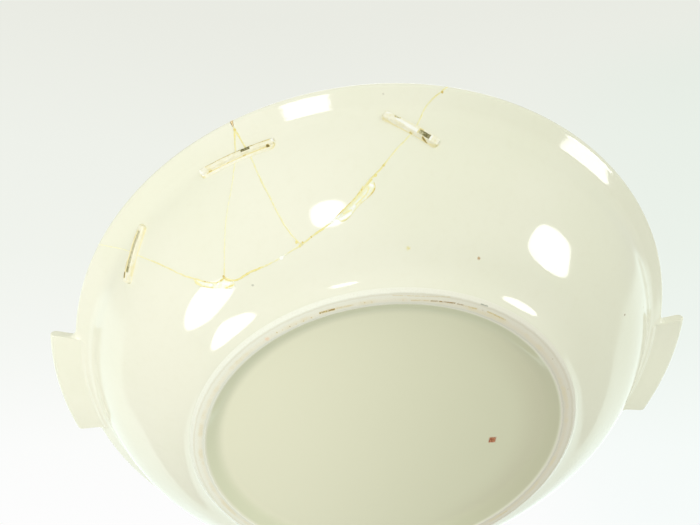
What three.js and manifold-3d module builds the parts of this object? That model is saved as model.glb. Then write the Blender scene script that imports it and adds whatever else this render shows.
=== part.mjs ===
// Shallow porcelain bowl with two lug handles, broken at the front and mended.
// Three sherds are glued back in, held by three metal staples under ridges of
// putty, and a small wedge of filler closes a notch in the rim.
// Millimetres, +Z up. The bowl stands on its foot ring, centred on the Z axis.
// The handles lie along X and the mended wall faces -Y.

import * as THREE from 'three';
import { mergeVertices } from 'three/addons/utils/BufferGeometryUtils.js';
import Module from 'manifold-3d';

const wasm = await Module();
wasm.setup();

// Driving sizes of the bowl
const RIM_RADIUS = 120;
const BOWL_HEIGHT = 44.4;
const FOOT_RADIUS = 71.2;
const FOOT_BAND = 4.3;
const FOOT_INNER_SLOPE = 6;
const RECESS_DEPTH = 4.3;
const BASE_THICKNESS = 4.4;
const WALL_THICKNESS = 4.2;
const RIM_THICKNESS = 3;
const RIM_FLARE_ANGLE = 30;

// Lug handles, level with the rim
const HANDLE_REACH = 9.5;
const HANDLE_THICKNESS = 3.4;
const HANDLE_HALF_ANGLE = 11.6;
const HANDLE_RISE = 0.8;
const HANDLE_ROOT_DROP = 0.4;
const HANDLE_FILLET = 3.2;

// Glue line between sherds, and clearance between a staple, its holes and its putty
const GLUE_GAP = 0.36;
const FIT_GAP = 0.3;

// Staples: a flat bar on the wall with a leg at each end, set in a blind hole
const STAPLE_WIDTH = 1.8;
const STAPLE_THICKNESS = 0.8;
const STAPLE_LEG_LENGTH = 1.6;
const STAPLE_LEG_DEPTH = 2.4;
const PUTTY_MARGIN = 0.6;
const PUTTY_COVER = 0.5;
const CHIP_DEPTH = 1.1;
const CHIP_SLOPE = 0.45;

// Facets
const TURN_STEPS = 72;
const WALL_STEPS = 16;
const BEAD_STEPS = 6;
const STAPLE_STEPS = 8;
const RIM_STEP_DEGREES = 6;

const COLOURS = { glaze: 0xe4e2cd, putty: 0xdcd3b4, metal: 0x6d6644, filler: 0xd9b98a };

const rad = THREE.MathUtils.degToRad;
const flat = (x, y) => new THREE.Vector2(x, y);

// The outside of the wall, from the cove above the foot to the rim. Each knot is
// a share of the way out from the foot and a share of the height.
const WALL_KNOTS = [
  [0.09, 0.097], [0.277, 0.198], [0.465, 0.329], [0.611, 0.457], [0.725, 0.608],
  [0.791, 0.718], [0.84, 0.818], [0.875, 0.864], [0.91, 0.889], [0.947, 0.912],
];

// The mend, as points on the outside of the wall: degrees round from the front,
// towards +X, and percent of the way up the wall from the cove to the rim.
const RIM_LEVEL = 100;
const ABOVE_RIM = 122;
const NOTCH_APEX = [-25.1, 97.5];
const LEFT_JOINT = [-37.8, 25.9];
const RIGHT_JOINT = [-20, 22.8];
const LEFT_CRACK = [
  [-60.9, ABOVE_RIM], [-56.7, RIM_LEVEL], [-55.3, 92.4], [-53.1, 81.8], [-51.1, 71.2], [-48.3, 57.8],
  [-46, 46], [-44.3, 38.3], [-43.4, 35.4], [-41.6, 29.4], [-39.4, 25.8], LEFT_JOINT,
];
const BOTTOM_CRACK = [
  LEFT_JOINT, [-36.6, 22], [-33.2, 20.8], [-28.8, 19.9], [-24.9, 20.5], [-21.6, 22], RIGHT_JOINT,
];
const RIGHT_CRACK = [
  RIGHT_JOINT, [-17.8, 25.1], [-14.9, 27.9], [-12.1, 31.6], [-9.6, 36.3], [-7.2, 42.4],
  [-4.9, 48.6], [-2.5, 55.5], [-0.2, 64.1], [2.3, 73], [3.3, 78.1], [4.4, 85.8], [5.4, 92.4],
  [7.5, RIM_LEVEL], [11.5, ABOVE_RIM],
];
const VERTICAL_CRACK = [
  NOTCH_APEX, [-26.1, 88.8], [-27.3, 77], [-28.5, 68.4], [-30.1, 59.8], [-31.9, 51.6],
  [-34.1, 41.2], LEFT_JOINT,
];
const DIAGONAL_CRACK = [
  NOTCH_APEX, [-24.6, 87], [-24.1, 79.1], [-23.5, 62.9], [-22.9, 52], [-22.2, 38.6],
  [-21.4, 30.1], [-20.4, 24.4], RIGHT_JOINT,
];
const NOTCH = [NOTCH_APEX, [-26.1, ABOVE_RIM], [-24.1, ABOVE_RIM]];
const LEFT_CHIP = [
  [-43.4, 35.9], [-41.4, 29.6], [-39.3, 26.2], [-37.8, 26.2], [-36.6, 22.3],
  [-36.7, 19.2], [-39.1, 20.4], [-41.9, 25.9], [-42.9, 29.7],
];
const RIGHT_CHIP = [
  [-12.3, 31.9], [-9.8, 36.8], [-7.3, 42.8], [-4.9, 49.2], [-4.2, 44.4], [-5.5, 39.6],
  [-7.9, 34.8], [-9, 31.9], [-11.3, 29.1],
];

// Each staple runs from one point to another. Metal shows through its putty in
// windows, each from one share of its length to another.
const STAPLES = [
  { name: 'left', from: [-47.6, 84.4], to: [-56.7, 68], windows: [[0.14, 0.26], [0.64, 0.86]] },
  { name: 'centre', from: [-33, 85], to: [-19.8, 82.3], windows: [[0.5, 0.64]] },
  { name: 'right', from: [-1.6, 85.4], to: [6.8, 68.4], windows: [[0.2, 0.28], [0.62, 0.84]] },
];

// Solids from geometry and back

function solidFrom(positions, triangles) {
  const kept = triangles.filter(([a, b, c]) => a !== b && b !== c && c !== a);
  const mesh = new wasm.Mesh({
    numProp: 3,
    vertProperties: Float32Array.from(positions),
    triVerts: Uint32Array.from(kept.flat()),
  });
  return new wasm.Manifold(mesh);
}

function solidOf(geometry) {
  geometry.deleteAttribute('normal');
  geometry.deleteAttribute('uv');
  const merged = mergeVertices(geometry, 1e-4);
  const index = merged.index.array;
  const triangles = [];
  for (let i = 0; i < index.length; i += 3) {
    triangles.push([index[i], index[i + 1], index[i + 2]]);
  }
  return solidFrom(merged.attributes.position.array, triangles);
}

function pieceOf(name, solid, colour, roughness, metalness) {
  const mesh = solid.getMesh();
  const positions = new Float32Array(mesh.numVert * 3);
  for (let i = 0; i < mesh.numVert; i++) {
    for (let k = 0; k < 3; k++) {
      positions[i * 3 + k] = mesh.vertProperties[i * mesh.numProp + k];
    }
  }
  const geometry = new THREE.BufferGeometry();
  geometry.setAttribute('position', new THREE.BufferAttribute(positions, 3));
  geometry.setIndex(new THREE.BufferAttribute(mesh.triVerts.slice(), 1));
  geometry.computeVertexNormals();
  const piece = new THREE.Mesh(
    geometry,
    new THREE.MeshStandardMaterial({ color: colour, roughness, metalness }),
  );
  piece.name = name;
  return piece;
}

// A closed profile of radius and height, turned about the Z axis
function turned(profile) {
  const geometry = new THREE.LatheGeometry(profile, TURN_STEPS);
  geometry.rotateX(Math.PI / 2);
  return solidOf(geometry);
}

// The wall and its surface

const rimAngle = rad(RIM_FLARE_ANGLE);
const beadRadius = RIM_THICKNESS / 2;
const beadCentre = flat(RIM_RADIUS - beadRadius, BOWL_HEIGHT - beadRadius);
const wallEnd = flat(
  beadCentre.x + beadRadius * Math.sin(rimAngle),
  beadCentre.y - beadRadius * Math.cos(rimAngle),
);
const wallSpan = RIM_RADIUS - FOOT_RADIUS;
const wallCurve = new THREE.SplineCurve([
  ...WALL_KNOTS.map(([out, up]) => flat(FOOT_RADIUS + out * wallSpan, up * BOWL_HEIGHT)),
  wallEnd,
]);
const wallLength = wallCurve.getLength();

// Radius and height on the outside of the wall, and the direction straight out of it
function wallAt(percent) {
  const share = THREE.MathUtils.clamp(percent / RIM_LEVEL, 0, 1);
  const along = wallCurve.getTangentAt(share);
  const point = wallCurve.getPointAt(share);
  const beyond = (percent / RIM_LEVEL - share) * wallLength;
  return { point: point.addScaledVector(along, beyond), out: flat(along.y, -along.x) };
}

// A place on the wall: degrees from the front, percent up, and lift off the surface
function onWall([degrees, percent], lift = 0) {
  const { point, out } = wallAt(percent);
  const angle = rad(degrees);
  const radius = point.x + out.x * lift;
  return new THREE.Vector3(
    radius * Math.sin(angle),
    -radius * Math.cos(angle),
    point.y + out.y * lift,
  );
}

function thicknessAt(share) {
  return THREE.MathUtils.lerp(
    WALL_THICKNESS,
    RIM_THICKNESS,
    THREE.MathUtils.smoothstep(share, 0.55, 1),
  );
}

const floorLevel = RECESS_DEPTH + BASE_THICKNESS;

function innerWall() {
  const shares = [1, 0.9, 0.8, 0.65, 0.5, 0.35, 0.2];
  const knots = shares.map((share) => {
    const { point, out } = wallAt(share * RIM_LEVEL);
    return point.addScaledVector(out, -thicknessAt(share));
  });
  const floorEdge = FOOT_RADIUS - FOOT_BAND;
  const lastKnot = knots[knots.length - 1];
  knots.push(flat((floorEdge + lastKnot.x) / 2, (3 * floorLevel + lastKnot.y) / 4));
  knots.push(flat(floorEdge - FOOT_BAND, floorLevel));
  return new THREE.SplineCurve(knots).getPoints(WALL_STEPS);
}

function rimBead() {
  const points = [];
  for (let i = 1; i < BEAD_STEPS; i++) {
    const angle = rimAngle - Math.PI / 2 + (Math.PI * i) / BEAD_STEPS;
    points.push(flat(
      beadCentre.x + beadRadius * Math.cos(angle),
      beadCentre.y + beadRadius * Math.sin(angle),
    ));
  }
  return points;
}

function footRing() {
  const bandInner = FOOT_RADIUS - FOOT_BAND;
  const cove = wallCurve.getPoint(0);
  return [
    flat(0, RECESS_DEPTH),
    flat(bandInner - FOOT_INNER_SLOPE, RECESS_DEPTH),
    flat(bandInner - 0.75 * FOOT_INNER_SLOPE, 0.8 * RECESS_DEPTH),
    flat(bandInner - 0.1 * FOOT_INNER_SLOPE, 0.1 * RECESS_DEPTH),
    flat(bandInner, 0),
    flat(FOOT_RADIUS, 0),
    flat(THREE.MathUtils.lerp(FOOT_RADIUS, cove.x, 0.22), 0.22 * cove.y),
    flat(THREE.MathUtils.lerp(FOOT_RADIUS, cove.x, 0.5), 0.68 * cove.y),
  ];
}

function wholeWall() {
  return turned([
    ...footRing(),
    ...wallCurve.getSpacedPoints(WALL_STEPS),
    ...rimBead(),
    ...innerWall(),
    flat(0, floorLevel),
  ]);
}

// Handles: a flat ring at the rim, kept only inside the outline of each lug

function handleRing() {
  const top = BOWL_HEIGHT - HANDLE_ROOT_DROP;
  const under = top - HANDLE_THICKNESS;
  const tip = RIM_RADIUS + HANDLE_REACH;
  const edge = HANDLE_THICKNESS / 4;
  const root = wallEnd.x - RIM_THICKNESS / 2;
  return turned([
    flat(root - edge, under),
    flat(tip - 2 * edge, under + HANDLE_RISE),
    flat(tip, under + HANDLE_RISE + 1.5 * edge),
    flat(tip, top + HANDLE_RISE - edge),
    flat(tip - edge, top + HANDLE_RISE),
    flat(beadCentre.x, top),
    flat(root - edge, under),
  ]);
}

function lugOutline(side) {
  const tip = RIM_RADIUS + HANDLE_REACH;
  const neck = RIM_RADIUS + HANDLE_FILLET;
  const halfRoot = HANDLE_HALF_ANGLE + THREE.MathUtils.radToDeg(HANDLE_FILLET / RIM_RADIUS);
  const upper = [
    [RIM_RADIUS - HANDLE_REACH, halfRoot + 1],
    [RIM_RADIUS - 1, halfRoot + 0.9],
    [RIM_RADIUS + 0.35 * HANDLE_FILLET, halfRoot],
    [neck, HANDLE_HALF_ANGLE + 0.5],
    [tip - 0.35 * HANDLE_FILLET, HANDLE_HALF_ANGLE],
    [tip + 1, HANDLE_HALF_ANGLE - 1],
    [tip + 1, HANDLE_HALF_ANGLE / 2],
    [tip + 1, 0],
  ];
  const lower = upper.slice(0, -1).reverse().map(([radius, angle]) => [radius, -angle]);
  const points = [...upper, ...lower].map(([radius, angle]) => {
    const turn = rad(angle) + side;
    return flat(radius * Math.cos(turn), radius * Math.sin(turn));
  });
  const geometry = new THREE.ExtrudeGeometry(new THREE.Shape(points), {
    depth: BOWL_HEIGHT,
    bevelEnabled: false,
  });
  geometry.translate(0, 0, BOWL_HEIGHT / 2);
  return solidOf(geometry);
}

function handles() {
  const ring = handleRing();
  return ring.intersect(lugOutline(0)).add(ring.intersect(lugOutline(Math.PI)));
}

// Breaks: each region of the wall is cut nearly square to it, by a block whose
// edges all point at one spot above the middle of the bowl. The block starts
// and ends at shares of the way from that spot to the wall.

const BREAK_CENTRE = new THREE.Vector3(0, 0, 2.8 * BOWL_HEIGHT);
const BLOCK_START = 0.75;
const BLOCK_END = 1.25;

// Move an anticlockwise outline outwards by a distance along the wall
function grown(outline, distance) {
  const perDegree = rad(1) * RIM_RADIUS;
  const perPercent = wallLength / RIM_LEVEL;
  const points = outline.map(([a, p]) => flat(a * perDegree, p * perPercent));
  return points.map((point, i) => {
    const before = points[(i + points.length - 1) % points.length];
    const after = points[(i + 1) % points.length];
    const sideIn = point.clone().sub(before).normalize();
    const sideOut = after.clone().sub(point).normalize();
    const normalIn = flat(sideIn.y, -sideIn.x);
    const normalOut = flat(sideOut.y, -sideOut.x);
    const middle = normalIn.clone().add(normalOut).normalize();
    const reach = distance / Math.max(middle.dot(normalOut), 0.25);
    const moved = point.clone().addScaledVector(middle, reach);
    return [moved.x / perDegree, moved.y / perPercent];
  });
}

// The same outline, running anticlockwise
function anticlockwise(outline) {
  const area = THREE.ShapeUtils.area(outline.map(([a, p]) => flat(a, p)));
  return area < 0 ? outline.slice().reverse() : outline;
}

// A block between two sheets of points that share one anticlockwise outline
function blockBetween(nearSheet, farSheet, outline) {
  const faces = THREE.ShapeUtils.triangulateShape(outline.map(([a, p]) => flat(a, p)), []);
  const count = outline.length;
  const triangles = [];
  for (const [a, b, c] of faces) {
    triangles.push([a + count, b + count, c + count], [c, b, a]);
  }
  for (let i = 0; i < count; i++) {
    const j = (i + 1) % count;
    triangles.push([i, j, j + count], [i, j + count, i + count]);
  }
  const positions = [...nearSheet, ...farSheet].flatMap((v) => [v.x, v.y, v.z]);
  return solidFrom(positions, triangles);
}

const towards = (point, share) => BREAK_CENTRE.clone().lerp(point, share);

function breakBlock(outline, distance) {
  const moved = grown(anticlockwise(outline), distance);
  const points = moved.map((place) => onWall(place));
  return blockBetween(
    points.map((p) => towards(p, BLOCK_START)),
    points.map((p) => towards(p, BLOCK_END)),
    moved,
  );
}

// A shallow chip: wide at the surface and narrower at its floor
function chipBlock(outline) {
  const edge = anticlockwise(outline);
  const narrow = grown(edge, -CHIP_SLOPE);
  return blockBetween(
    narrow.map((place) => onWall(place, -CHIP_DEPTH)),
    grown(edge, CHIP_SLOPE / 4).map((place) => onWall(place, CHIP_DEPTH)),
    edge,
  );
}

// Staples and putty

// A strip along the wall from one share of a staple to another, between two lifts
function strip(staple, start, end, width, low, high) {
  const [fromAngle, fromUp] = staple.from;
  const [toAngle, toUp] = staple.to;
  const stations = Math.max(2, Math.ceil((end - start) * STAPLE_STEPS));
  const placeAt = (share) => [
    THREE.MathUtils.lerp(fromAngle, toAngle, share),
    THREE.MathUtils.lerp(fromUp, toUp, share),
  ];
  const head = onWall(placeAt(0));
  const tail = onWall(placeAt(1));
  const along = tail.clone().sub(head).normalize();
  const positions = [];
  for (let i = 0; i <= stations; i++) {
    const place = placeAt(THREE.MathUtils.lerp(start, end, i / stations));
    const base = onWall(place, low);
    const lid = onWall(place, high);
    const out = lid.clone().sub(base).normalize();
    const across = along.clone().cross(out).normalize().multiplyScalar(width / 2);
    for (const [point, side] of [[base, -1], [base, 1], [lid, 1], [lid, -1]]) {
      positions.push(...point.clone().addScaledVector(across, side).toArray());
    }
  }
  const triangles = [[0, 2, 1], [0, 3, 2]];
  for (let i = 0; i < stations; i++) {
    for (let k = 0; k < 4; k++) {
      const a = 4 * i + k;
      const b = 4 * i + ((k + 1) % 4);
      triangles.push([a, b, b + 4], [a, b + 4, a + 4]);
    }
  }
  const last = 4 * stations;
  triangles.push([last, last + 1, last + 2], [last, last + 2, last + 3]);
  return solidFrom(positions, triangles.map(([a, b, c]) => [c, b, a]));
}

function stapleLength(staple) {
  return onWall(staple.from).distanceTo(onWall(staple.to));
}

// The bar and its two legs, all grown by a clearance
function staplePieces(staple, clearance) {
  const length = stapleLength(staple);
  const spare = clearance / length;
  const leg = STAPLE_LEG_LENGTH / length;
  const width = STAPLE_WIDTH + 2 * clearance;
  const top = FIT_GAP + STAPLE_THICKNESS + clearance;
  const deep = -STAPLE_LEG_DEPTH - clearance;
  const bar = strip(staple, -spare, 1 + spare, width, FIT_GAP - clearance, top);
  const legs = [[-spare, leg + spare], [1 - leg - spare, 1 + spare]].map(([start, end]) =>
    strip(staple, start, end, width, deep, top));
  return { bar, legs };
}

function stapleSolid(staple, clearance) {
  const { bar, legs } = staplePieces(staple, clearance);
  return bar.add(legs[0]).add(legs[1]);
}

function puttySolid(staple) {
  const length = stapleLength(staple);
  const shoulder = (FIT_GAP + PUTTY_MARGIN) / length;
  const width = STAPLE_WIDTH + 2 * (FIT_GAP + PUTTY_MARGIN);
  const roof = 2 * FIT_GAP + STAPLE_THICKNESS + PUTTY_COVER;
  let putty = strip(staple, -shoulder, 1 + shoulder, width, FIT_GAP, roof);
  putty = putty.subtract(stapleSolid(staple, FIT_GAP));
  for (const [start, end] of staple.windows) {
    putty = putty.subtract(strip(staple, start, end, STAPLE_WIDTH, FIT_GAP, 2 * roof));
  }
  return putty;
}

// The pieces

// Points clear above the rim, close enough to follow its curve
function overRim(from, to) {
  const count = Math.ceil(Math.abs(to - from) / RIM_STEP_DEGREES);
  const points = [];
  for (let i = 1; i < count; i++) {
    points.push([THREE.MathUtils.lerp(from, to, i / count), ABOVE_RIM]);
  }
  return points;
}

const whole = wholeWall();
const leftTop = LEFT_CRACK[0][0];
const rightTop = RIGHT_CRACK[RIGHT_CRACK.length - 1][0];
const notchTop = NOTCH_APEX[0];
const leftOutline = [
  ...LEFT_CRACK,
  ...VERTICAL_CRACK.slice(0, -1).reverse(),
  [notchTop, ABOVE_RIM],
  ...overRim(notchTop, leftTop),
];
const middleOutline = [...BOTTOM_CRACK, ...DIAGONAL_CRACK.slice(0, -1).reverse(),
  ...VERTICAL_CRACK.slice(1, -1)];
const rightOutline = [
  ...DIAGONAL_CRACK.slice(0, -1),
  ...RIGHT_CRACK,
  ...overRim(rightTop, notchTop),
  [notchTop, ABOVE_RIM],
];
const breakOutline = [
  ...LEFT_CRACK.slice(0, -1),
  ...BOTTOM_CRACK,
  ...RIGHT_CRACK.slice(1),
  ...overRim(rightTop, leftTop),
];

let body = whole.subtract(breakBlock(breakOutline, GLUE_GAP / 2)).add(handles());
let sherds = [
  ['sherd_left', leftOutline],
  ['sherd_middle', middleOutline],
  ['sherd_right', rightOutline],
].map(([name, outline]) => [name, whole.intersect(breakBlock(outline, -GLUE_GAP / 2))]);

body = body.subtract(chipBlock(LEFT_CHIP)).subtract(chipBlock(RIGHT_CHIP));
const notch = breakBlock(NOTCH, GLUE_GAP / 2);
sherds = sherds.map(([name, solid]) => [name, solid.subtract(notch)]);
for (const staple of STAPLES) {
  for (const hole of staplePieces(staple, FIT_GAP).legs) {
    body = body.subtract(hole);
    sherds = sherds.map(([name, solid]) => [name, solid.subtract(hole)]);
  }
}

const bowl = new THREE.Group();
bowl.add(pieceOf('bowl_body', body, COLOURS.glaze, 0.12, 0));
for (const [name, solid] of sherds) {
  bowl.add(pieceOf(name, solid, COLOURS.glaze, 0.12, 0));
}
bowl.add(pieceOf(
  'rim_fill',
  whole.intersect(breakBlock(NOTCH, -GLUE_GAP / 2)),
  COLOURS.filler,
  0.7,
  0,
));
for (const staple of STAPLES) {
  bowl.add(pieceOf(`staple_${staple.name}`, stapleSolid(staple, 0), COLOURS.metal, 0.55, 0.8));
  bowl.add(pieceOf(`putty_${staple.name}`, puttySolid(staple), COLOURS.putty, 0.75, 0));
}

export default bowl;
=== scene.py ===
import math

import bpy
import numpy as np
from mathutils import Matrix, Vector, geometry, noise
from mathutils.bvhtree import BVHTree


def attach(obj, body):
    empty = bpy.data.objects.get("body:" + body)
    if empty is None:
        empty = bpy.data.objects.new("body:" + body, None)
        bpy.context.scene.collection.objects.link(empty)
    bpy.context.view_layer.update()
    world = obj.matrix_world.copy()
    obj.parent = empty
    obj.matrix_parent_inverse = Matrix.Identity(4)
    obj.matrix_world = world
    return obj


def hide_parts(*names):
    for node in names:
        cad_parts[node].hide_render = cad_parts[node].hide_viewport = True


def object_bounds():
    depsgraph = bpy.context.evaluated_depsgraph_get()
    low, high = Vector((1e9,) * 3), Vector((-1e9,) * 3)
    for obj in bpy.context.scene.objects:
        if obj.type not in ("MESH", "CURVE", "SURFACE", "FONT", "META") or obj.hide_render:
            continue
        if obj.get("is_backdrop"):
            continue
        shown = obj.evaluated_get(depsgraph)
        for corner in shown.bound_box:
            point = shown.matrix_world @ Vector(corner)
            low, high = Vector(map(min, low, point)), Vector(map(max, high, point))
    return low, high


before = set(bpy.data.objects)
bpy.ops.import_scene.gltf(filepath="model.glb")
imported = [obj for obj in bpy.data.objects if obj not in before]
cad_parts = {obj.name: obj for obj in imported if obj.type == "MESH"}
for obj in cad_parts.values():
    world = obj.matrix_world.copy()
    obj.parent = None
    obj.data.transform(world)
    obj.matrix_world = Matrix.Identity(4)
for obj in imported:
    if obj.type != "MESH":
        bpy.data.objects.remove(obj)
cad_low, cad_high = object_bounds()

# A shallow porcelain bowl with two lug handles, broken at the front and mended.
# Shapes are worked out in millimetres, +Z up, and turned into metres at the end.
MM = 0.001

# Sizes of the bowl, the same as in the CAD
RIM_RADIUS = 119.99
BOWL_HEIGHT = 44.4
FOOT_RADIUS = 71.2
FOOT_BAND = 4.3
RECESS_DEPTH = 4.3
FLOOR_LEVEL = 8.7
WALL_THICKNESS = 4.2
RIM_THICKNESS = 3.0
RIM_FLARE = math.radians(30)
HANDLE_REACH = 9.5
HANDLE_HALF_ANGLE = 11.6
HANDLE_FILLET = 3.2
HANDLE_CORNER = 0.8
GLUE_GAP = 0.3
STAPLE_WIDTH = 1.8
STAPLE_LOW = 0.3
STAPLE_HIGH = 1.1
STAPLE_LEG = 1.6
STAPLE_DEPTH = 2.4
BREAK_CENTRE = np.array((0.0, 0.0, 2.8 * BOWL_HEIGHT))
BREAK_SPAN = (0.75, 1.25)
CHIP_TAPER = 0.35
CHIP_DEPTH = 1.0
ABOVE_WALL = 1.5
# Millimetres of radius and height: the foot's inner slope and outer side, the wall, and a lug's
# underside, round tip and top
FOOT_SLOPE = [(59.2, 4.3), (60.9, 4.1), (62.4, 3.4), (66.25, 0.45), (66.85, 0.06), (67.2, 0)]
FOOT_SIDE = [(71.2, 0.14), (71.75, 0.95), (73.68, 3.05)]
WALL_KNOTS = [
    (75.74, 4.55), (84.7, 8.73), (93.9, 14.6), (101, 20.3), (106.6, 27), (109.8, 31.9), (112.2, 36.3),
    (113.9, 38.35), (115.6, 39.45), (117.4, 40.5),
]
LUG_KNOTS = [
    (116.55, 39.65), (117.35, 40.28), (118.7, 40.52), (122.5, 40.83), (127.2, 41.2), (128.7, 41.6),
    (129.4, 42.5), (129.48, 43.4), (129.05, 44.35), (128.1, 44.76), (126.6, 44.72), (122.5, 44.42),
    (119.6, 44.32),
]

# The mend: degrees round from the front towards +X, and percent of the way up the wall
LEFT_JOINT = (-37.8, 25.9)
RIGHT_JOINT = (-20.0, 22.8)
NOTCH_APEX = (-25.1, 97.5)
LEFT_CRACK = [
    (-60.9, 122), (-56.7, 100), (-55.3, 92.4), (-53.1, 81.8), (-51.1, 71.2), (-48.3, 57.8), (-46, 46),
    (-44.3, 38.3), (-43.4, 35.4), (-41.6, 29.4), (-39.4, 25.8), LEFT_JOINT,
]
BOTTOM_CRACK = [
    LEFT_JOINT, (-36.6, 22), (-33.2, 20.8), (-28.8, 19.9), (-24.9, 20.5), (-21.6, 22), RIGHT_JOINT,
]
RIGHT_CRACK = [
    RIGHT_JOINT, (-17.8, 25.1), (-14.9, 27.9), (-12.1, 31.6), (-9.6, 36.3), (-7.2, 42.4), (-4.9, 48.6),
    (-2.5, 55.5), (-0.2, 64.1), (2.3, 73), (3.3, 78.1), (4.4, 85.8), (5.4, 92.4), (7.5, 100), (11.5, 122),
]
VERTICAL_CRACK = [
    NOTCH_APEX, (-26.1, 88.8), (-27.3, 77), (-28.5, 68.4), (-30.1, 59.8), (-31.9, 51.6), (-34.1, 41.2),
    LEFT_JOINT,
]
DIAGONAL_CRACK = [
    NOTCH_APEX, (-24.6, 87), (-24.1, 79.1), (-23.5, 62.9), (-22.9, 52), (-22.2, 38.6), (-21.4, 30.1),
    (-20.4, 24.4), RIGHT_JOINT,
]
NOTCH = [NOTCH_APEX, (-26.1, 122), (-24.1, 122)]
LEFT_CHIP = [
    (-43.4, 35.9), (-41.4, 29.6), (-39.3, 26.2), (-37.8, 26.2), (-36.6, 22.3), (-36.7, 19.2), (-39.1, 20.4),
    (-41.7, 25.6), (-43, 28.9), (-43.9, 32.2), (-44, 34.8),
]
RIGHT_CHIP = [
    (-12.3, 31.9), (-9.8, 36.8), (-7.3, 42.8), (-4.9, 49.2), (-4.2, 44.4), (-5.5, 39.6), (-7.9, 34.8),
    (-9, 31.9), (-11.3, 29.1),
]
STAPLES = [
    ("left", (-47.6, 84.4), (-56.7, 68)), ("centre", (-33, 85), (-19.8, 82.3)),
    ("right", (-1.6, 85.4), (6.8, 68.4)),
]


def smooth(x, low, high):
    t = np.clip((np.asarray(x, float) - low) / (high - low), 0, 1)
    return t * t * (3 - 2 * t)


def hum(x, y=0.0, z=0.0):
    return noise.noise((x, y, z))


def unit(v):
    return v / np.linalg.norm(v, axis=-1, keepdims=True)


def turned(d):
    """Flat directions turned a quarter to the right."""
    return np.stack([d[..., 1], -d[..., 0]], -1)


# Curves of radius and height


class Curve:
    """A smooth curve through points, with its length measured along it."""

    def __init__(self, points, start=None, end=None, fineness=60):
        points = np.array(points, float)
        step = np.diff(points, axis=0)
        chord = np.hypot(*step.T)
        rise = step / chord[:, None]
        m, rhs = np.eye(len(points)), np.zeros(points.shape)
        for i in range(1, len(points) - 1):
            a, b = chord[i - 1:i + 1]
            m[i, i - 1:i + 2] = b, 2 * (a + b), a
            rhs[i] = 3 * (b * rise[i - 1] + a * rise[i])
        if start is None:
            m[0, :2], start = (2, 1), 3 * rise[0]
        if end is None:
            m[-1, -2:], end = (1, 2), 3 * rise[-1]
        rhs[0], rhs[-1] = start, end
        slope = np.linalg.solve(m, rhs)
        t = np.linspace(0, 1, fineness + 1)[1:, None]
        xy = [points[:1]]
        for a, b, h, at_a, at_b in zip(points, points[1:], chord, slope, slope[1:]):
            xy.append((2 * t**3 - 3 * t**2 + 1) * a + (t**3 - 2 * t**2 + t) * h * at_a
                      + (3 * t**2 - 2 * t**3) * b + (t**3 - t**2) * h * at_b)
        self.xy = np.concatenate(xy)
        self.s = np.r_[0, np.cumsum(np.hypot(*np.diff(self.xy, axis=0).T))]
        self.knots = self.s[::fineness]
        self.length = self.s[-1]

    def at(self, s):
        s = np.asarray(s, float)
        return np.stack([np.interp(s, self.s, self.xy[:, k]) for k in (0, 1)], -1)

    def direction(self, s, reach=0.05):
        s = np.clip(np.asarray(s, float), reach, self.length - reach)
        d = self.at(s + reach) - self.at(s - reach)
        return d / np.linalg.norm(d, axis=-1, keepdims=True)


bead_radius = RIM_THICKNESS / 2
bead_centre = np.array((RIM_RADIUS - bead_radius, BOWL_HEIGHT - bead_radius))
along_rim = (math.cos(RIM_FLARE), math.sin(RIM_FLARE))
wall_end = bead_centre + bead_radius * np.array((math.sin(RIM_FLARE), -math.cos(RIM_FLARE)))
outer = Curve(FOOT_SIDE + WALL_KNOTS + [wall_end], start=(0.45, 0.89), end=along_rim)
WALL_START = outer.knots[len(FOOT_SIDE)]
WALL_LENGTH = outer.length - WALL_START
# Millimetres to a degree and to a percent, on the wall laid flat
PER_DEGREE = math.radians(1) * RIM_RADIUS
PER_PERCENT = WALL_LENGTH / 100
FLAT = np.array((PER_DEGREE, PER_PERCENT))


def wall_at(percent):
    """Radius and height on the outside of the wall, and the direction straight out of it."""
    s = WALL_START + np.asarray(percent, float) / 100 * WALL_LENGTH
    held = np.clip(s, 0, outer.length)
    d = outer.direction(held)
    return outer.at(held) + d * (s - held)[..., None], turned(d)


def on_wall(degrees, percent, lift=0.0):
    point, out = wall_at(percent)
    a = np.radians(degrees)
    r = point[..., 0] + out[..., 0] * lift
    z = point[..., 1] + out[..., 1] * lift
    return np.stack([r * np.sin(a), -r * np.cos(a), z + 0 * r], -1)


def on_places(places, lift=0.0):
    return on_wall(*np.array(places, float).T, lift)


# The turned body with its lugs, as one grid: columns round the bowl and rows along the section

RIM_TURN = 5.2  # how far below the end of the wall the lugs begin
RECESS_RADII = (0, 10, 24, 38, 50, 56)
BAND_KNOTS = [(68.2, 0), (69.2, 0), (70.2, 0), (70.75, 0), (70.95, 0.01), (71.1, 0.06)]
FLOOR_RADII = (56, 44, 30, 14, 0)


def inner_curve():
    knots = []
    for share in (1, 0.9, 0.8, 0.65, 0.5, 0.35, 0.2):
        point, out = wall_at(share * 100)
        thick = WALL_THICKNESS + (RIM_THICKNESS - WALL_THICKNESS) * smooth(share, 0.55, 1)
        knots.append(point - out * thick)
    edge = FOOT_RADIUS - FOOT_BAND
    last = knots[-1]
    knots.append(((edge + last[0]) / 2, (3 * FLOOR_LEVEL + last[1]) / 4))
    knots.append((edge - FOOT_BAND, FLOOR_LEVEL))
    return Curve(knots, start=(-along_rim[0], -along_rim[1]), end=(-1, 0))


def alike(points, follow=0.0):
    """Rows that are the same at the plain rim and in a lug."""
    return [(p, p, f) for p, f in zip(points, np.broadcast_to(follow, len(points)))]


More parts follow.
